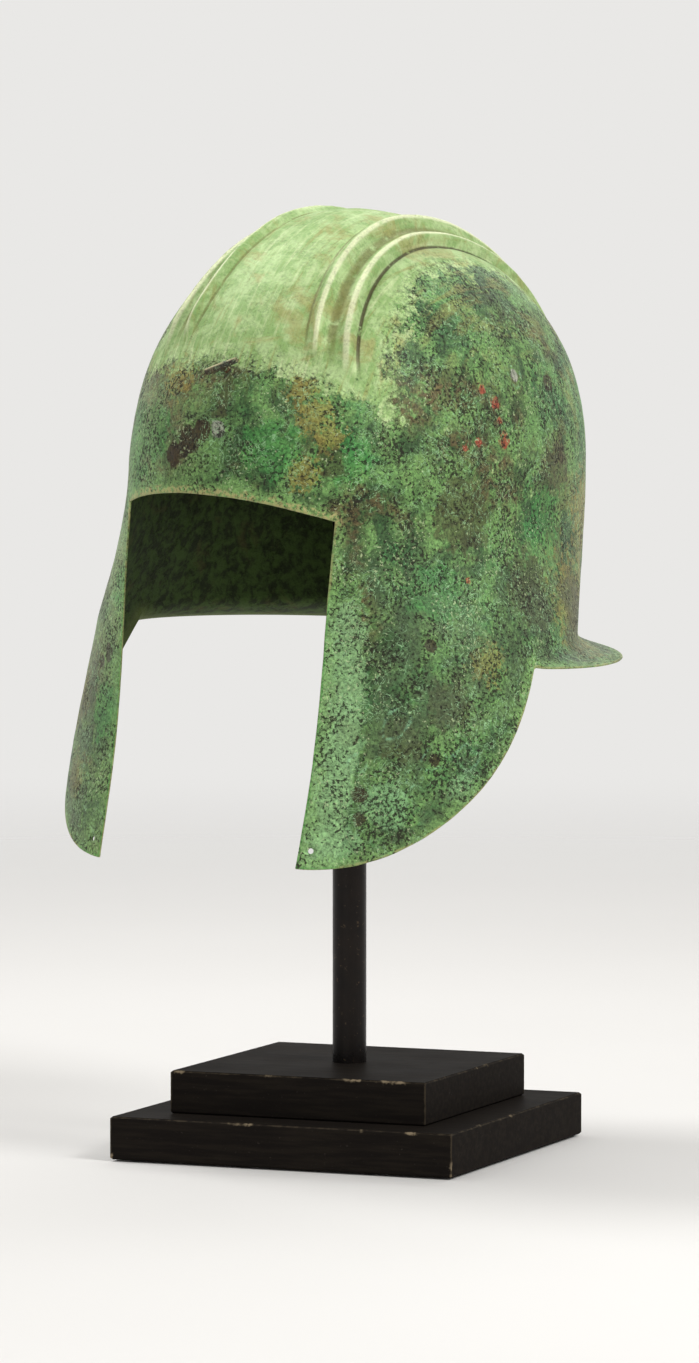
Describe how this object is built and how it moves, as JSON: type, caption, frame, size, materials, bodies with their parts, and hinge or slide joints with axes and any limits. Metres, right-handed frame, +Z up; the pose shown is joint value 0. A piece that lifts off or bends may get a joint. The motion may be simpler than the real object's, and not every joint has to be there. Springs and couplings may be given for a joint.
{
  "type": "helmet on display stand",
  "caption": "Open-faced ancient bronze helmet with long cheek pieces, flared neck guard and paired crest ridges, held by a padded cradle and round post on a stepped square base.",
  "frame": {"origin": "centre of the base's underside, on the post's axis", "axes": "+Z up along the post; -Y towards the helmet's open face; +X towards the wearer's left"},
  "size_m": [0.2263, 0.2261, 0.3974],
  "materials": {
    "bronze": "mottled green patina, satin where rubbed",
    "pin": "brown corroded bronze",
    "lacquer": "black-brown satin lacquer",
    "dark_metal": "black-brown satin paint",
    "steel": "plain zinc-plated screws",
    "felt": "dark felt"
  },
  "bodies": {
    "base": {"base_felt": "felt", "base_lower_plate": "lacquer", "base_upper_plate": "lacquer", "stand_post": "dark_metal", "post_washer": "steel", "post_screw": "steel", "plate_screw_1": "steel", "plate_screw_2": "steel", "plate_screw_3": "steel", "plate_screw_4": "steel"},
    "cradle": {"cradle_cap": "dark_metal", "cradle_set_screw": "steel", "cradle_bar_long": "dark_metal", "cradle_bar_cross": "dark_metal", "cradle_screw": "steel", "cradle_pad_left": "felt", "cradle_pad_right": "felt", "cradle_pad_back": "felt", "cradle_pad_front": "felt"},
    "helmet": {"helmet_shell": "bronze", "crest_pin_front": "pin", "crest_pin_rear": "pin"}
  },
  "joints": [
    {"name": "cradle_swivel", "type": "hinge", "parent": "base", "child": "cradle", "pos_m": [0, 0, 0.35], "axis": [0, 0, 1], "continuous": true},
    {"name": "helmet_lift", "type": "slide", "parent": "cradle", "child": "helmet", "axis": [0, 0, 1], "range_m": [0, 0.3]}
  ]
}
